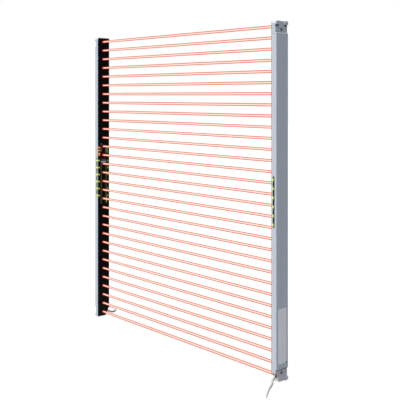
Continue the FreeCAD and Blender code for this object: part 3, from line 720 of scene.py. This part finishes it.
cable = {
    "diameter": 0.0046, "stepsAlong": 12, "stepsAround": 6,
    "emitter": {"length": 0.123, "exit": (-275.5, 15.5, 7.5), "points": [
        (0, 3.708, 5.528), (1.1, 8.2, 3.7), (0.9, 14.1, 2.6), (-1.8, 21.2, 2.3), (-8.2, 28.3, 2.3),
        (-19.8, 34.2, 2.3), (-35.7, 36.2, 2.3), (-53.7, 36.2, 2.6), (-70.0, 40.9, 4.8), (-82.1, 47.9, 7.4),
        (-92.0, 54.8, 7.4)]},
    "receiver": {"length": 0.128, "exit": (275.5, -15.5, 7.5), "points": [
        (0, -3.708, 5.528), (2.4, -7.2, 4.0), (6.2, -11.7, 2.7), (9.9, -18.4, 2.3), (15.5, -29.2, 2.3),
        (24.6, -42.3, 2.3), (34.5, -57.0, 2.3), (46.5, -70.3, 2.5), (60.9, -77.3, 4.7), (74.9, -77.6, 7.4),
        (86.1, -73.1, 7.4)]},
}


def layCable(bar):
    facts = cable[bar]
    start = Vector(facts["exit"])
    route = [start] + [Vector((start.x + x, start.y + y, z)) for x, y, z in facts["points"]]
    line = bpy.data.curves.new(bar + "_lead", "CURVE")
    line.dimensions = "3D"
    spline = line.splines.new("NURBS")
    spline.points.add(len(route) - 1)
    for point, spot in zip(spline.points, route):
        point.co = (*(spot * mm), 1)
    spline.order_u = 3
    spline.use_endpoint_u = True
    spline.resolution_u = cable["stepsAlong"]
    line.bevel_depth = cable["diameter"] / 2
    line.bevel_resolution = cable["stepsAround"]
    line.use_fill_caps = True
    line.materials.append(finishes["jacket"])
    lead = bpy.data.objects.new(bar + "_lead", line)
    bpy.context.scene.collection.objects.link(lead)
    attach(lead, "light_curtain")
    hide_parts(bar + "_cable")


for bar in bars:
    layCable(bar)
print("cables laid")


# Light beams: a red rim round a white core, each with its own look near the emitter

beam = {"rimRadius": (2.35, 2.8), "coreRadius": (1.15, 1.25), "widening": 90.0, "sides": 20,
        "domeSteps": 5, "reach": 270.7, "coreSetback": 0.6, "startAt": (-300, -252), "startSoft": 8,
        "roughness": 0.5, "drift": (6, 60, 60), "driftDetail": 2.0, "dimmest": 0.94, "dimAt": 0.2,
        "fullAt": 0.8,
        "rim": {"colour": (0.875, 0.116, 0.002), "strength": 1.0, "opacity": 0.77},
        "rimStart": {"colour": (0.85, 0.058, 0.012), "strength": 1.0, "opacity": 0.68},
        "core": {"colour": (0.405, 0.974, 1.0), "strength": 3.35, "opacity": 1.0},
        "coreStart": {"colour": (0.51, 1.0, 0.95), "strength": 2.5, "opacity": 1.0}}


def meshPiece(name, grid, mat):
    mesh = bpy.data.meshes.new(name)
    grid.to_mesh(mesh)
    grid.free()
    mesh.materials.append(mat)
    mesh.shade_smooth()
    piece = bpy.data.objects.new(name, mesh)
    bpy.context.scene.collection.objects.link(piece)
    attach(piece, "light_curtain")


def turnedAlongX(grid, profile, z, sides):
    # Closed solid of revolution about a line along x, from (x, radius) points
    rings = []
    for x, r in profile:
        ring = []
        for k in range(sides):
            turn = 2 * math.pi * k / sides
            ring.append(grid.verts.new((x * mm, r * math.cos(turn) * mm, (z + r * math.sin(turn)) * mm)))
        rings.append(ring)
    for ring, following in zip(rings, rings[1:]):
        for k in range(sides):
            n = (k + 1) % sides
            grid.faces.new((ring[k], following[k], following[n], ring[n]))
    grid.faces.new(rings[0])
    grid.faces.new(list(reversed(rings[-1])))


def dome(radius):
    # Quarter circle from the axis, as (x, radius) points
    turns = [math.pi / 2 * k / beam["domeSteps"] for k in range(1, beam["domeSteps"] + 1)]
    return [(radius * (1 - math.cos(turn)), radius * math.sin(turn)) for turn in turns]


def beamProfile(radii, setback):
    # Domed at both ends, and a little wider away from the emitter
    reach = beam["reach"] - setback
    start = [(x - reach, r) for x, r in dome(radii[0])]
    far = [(reach - x, r) for x, r in reversed(dome(radii[1]))]
    return start + [(beam["widening"] - reach, radii[1])] + far


def between(tree, mask, first, second):
    # From the first number where the mask is 0 to the second where it is 1
    return plus(tree, times(tree, mask, second - first), first)


def beamMaterial(part):
    # Redder beside the emitter than further along
    far, start = beam[part], beam[part + "Start"]
    mat, tree, shader = newMaterial("beam_" + part, beam["roughness"], specular=0.0)
    shader.inputs["Base Color"].default_value = (*black, 1)
    x, y, z = axes(tree)
    atStart = near(tree, x, *beam["startAt"], beam["startSoft"])
    drift = grain(tree, place(tree, beam["drift"]), 1.0, beam["driftDetail"])
    dimmest = tuple(beam["dimmest"] * c for c in far["colour"])
    tint = ramp(tree, drift, [(beam["dimAt"], dimmest), (beam["fullAt"], far["colour"])])
    strength = between(tree, atStart, far["strength"], start["strength"])
    glow(tree, shader, paint(tree, atStart, tint, start["colour"]), strength)
    if start["opacity"] != far["opacity"]:
        tree.links.new(between(tree, atStart, far["opacity"], start["opacity"]), shader.inputs["Alpha"])
    mat.cycles.emission_sampling = "NONE"
    return mat


def makeBeams():
    rims = bmesh.new()
    cores = bmesh.new()
    for k in range(layout["beamCount"]):
        z = layout["beamStart"] + k * layout["beamPitch"]
        turnedAlongX(rims, beamProfile(beam["rimRadius"], 0), z, beam["sides"])
        turnedAlongX(cores, beamProfile(beam["coreRadius"], beam["coreSetback"]), z, beam["sides"])
    meshPiece("beam_rims", rims, beamMaterial("rim"))
    meshPiece("beam_cores", cores, beamMaterial("core"))


makeBeams()
print("beams drawn")


# Floor, lamps and camera. A lamp is its direction, strength and spread in degrees

studio = {"floorReach": 9.0, "floorHeight": -0.0003, "floorColour": (0.26, 0.26, 0.26), "floorGlow": 0.78,
          "bounce": (0.190, 0.205, 0.222), "sky": (0.182, 0.205, 0.228),
          "lamps": {"front": ((0.30, 0.86, -0.42), 0.77, 30), "right": ((-0.86, 0.20, -0.40), 0.13, 40),
                    "top": ((0.05, 0.10, -1.0), 0.85, 40)}}


def whiteForViewer(tree, first, second, out):
    # The first shader lights the object, and the second is what the camera, metal and glass see
    path = tree.nodes.new("ShaderNodeLightPath")
    seen = sums(tree, "MAXIMUM", path.outputs["Is Camera Ray"], path.outputs["Is Glossy Ray"])
    seen = sums(tree, "MAXIMUM", seen, path.outputs["Is Transmission Ray"])
    mix = tree.nodes.new("ShaderNodeMixShader")
    for socket, source in zip(mix.inputs, (seen, first, second)):
        tree.links.new(source, socket)
    tree.links.new(mix.outputs[0], out)


def floorMaterial():
    mat = bpy.data.materials.new("pale_floor")
    mat.use_nodes = True
    tree = mat.node_tree
    tree.nodes.clear()
    out = tree.nodes.new("ShaderNodeOutputMaterial")
    plain = tree.nodes.new("ShaderNodeBsdfDiffuse")
    plain.inputs["Color"].default_value = (*studio["floorColour"], 1)
    lit = tree.nodes.new("ShaderNodeEmission")
    lit.inputs["Strength"].default_value = studio["floorGlow"]
    both = tree.nodes.new("ShaderNodeAddShader")
    tree.links.new(plain.outputs[0], both.inputs[0])
    tree.links.new(lit.outputs[0], both.inputs[1])
    dull = tree.nodes.new("ShaderNodeEmission")
    dull.inputs["Color"].default_value = (*studio["bounce"], 1)
    whiteForViewer(tree, dull.outputs[0], both.outputs[0], out.inputs["Surface"])
    return mat


def makeFloor():
    grid = bmesh.new()
    reach = studio["floorReach"]
    corners = [(-reach, -reach), (reach, -reach), (reach, reach), (-reach, reach)]
    grid.faces.new([grid.verts.new((x, y, studio["floorHeight"])) for x, y in corners])
    mesh = bpy.data.meshes.new("floor")
    grid.to_mesh(mesh)
    grid.free()
    mesh.materials.append(floorMaterial())
    floor = bpy.data.objects.new("floor", mesh)
    bpy.context.scene.collection.objects.link(floor)


def makeLamps():
    for name, (aim, strength, spread) in studio["lamps"].items():
        lamp = bpy.data.lights.new(name + "_lamp", "SUN")
        lamp.energy = strength * math.pi
        lamp.angle = math.radians(spread)
        holder = bpy.data.objects.new(name + "_lamp", lamp)
        holder.rotation_euler = Vector(aim).to_track_quat("-Z", "Y").to_euler()
        bpy.context.scene.collection.objects.link(holder)


def makeWorld():
    world = bpy.data.worlds.new("studio")
    world.use_nodes = True
    tree = world.node_tree
    soft = tree.nodes["Background"]
    soft.inputs["Color"].default_value = (*studio["sky"], 1)
    white = tree.nodes.new("ShaderNodeBackground")
    white.inputs["Color"].default_value = (1, 1, 1, 1)
    for background in (soft, white):
        background.inputs["Strength"].default_value = 1.0
    whiteForViewer(tree, soft.outputs[0], white.outputs[0], tree.nodes["World Output"].inputs["Surface"])
    bpy.context.scene.world = world


camera = {"place": (1.2024, -1.0187, 0.5064), "heading": 48.2, "lens": 69.507, "sensor": 36,
          "rise": -0.26203}


def makeCamera():
    eye = bpy.data.cameras.new("camera")
    eye.sensor_width = camera["sensor"]
    eye.lens = camera["lens"]
    eye.shift_y = camera["rise"]
    holder = bpy.data.objects.new("camera", eye)
    holder.location = camera["place"]
    holder.rotation_euler = (math.pi / 2, 0, math.radians(camera["heading"]))
    bpy.context.scene.collection.objects.link(holder)
    bpy.context.scene.camera = holder


makeFloor()
makeLamps()
makeWorld()
makeCamera()
bpy.context.scene.view_settings.view_transform = "Standard"
print("studio set")
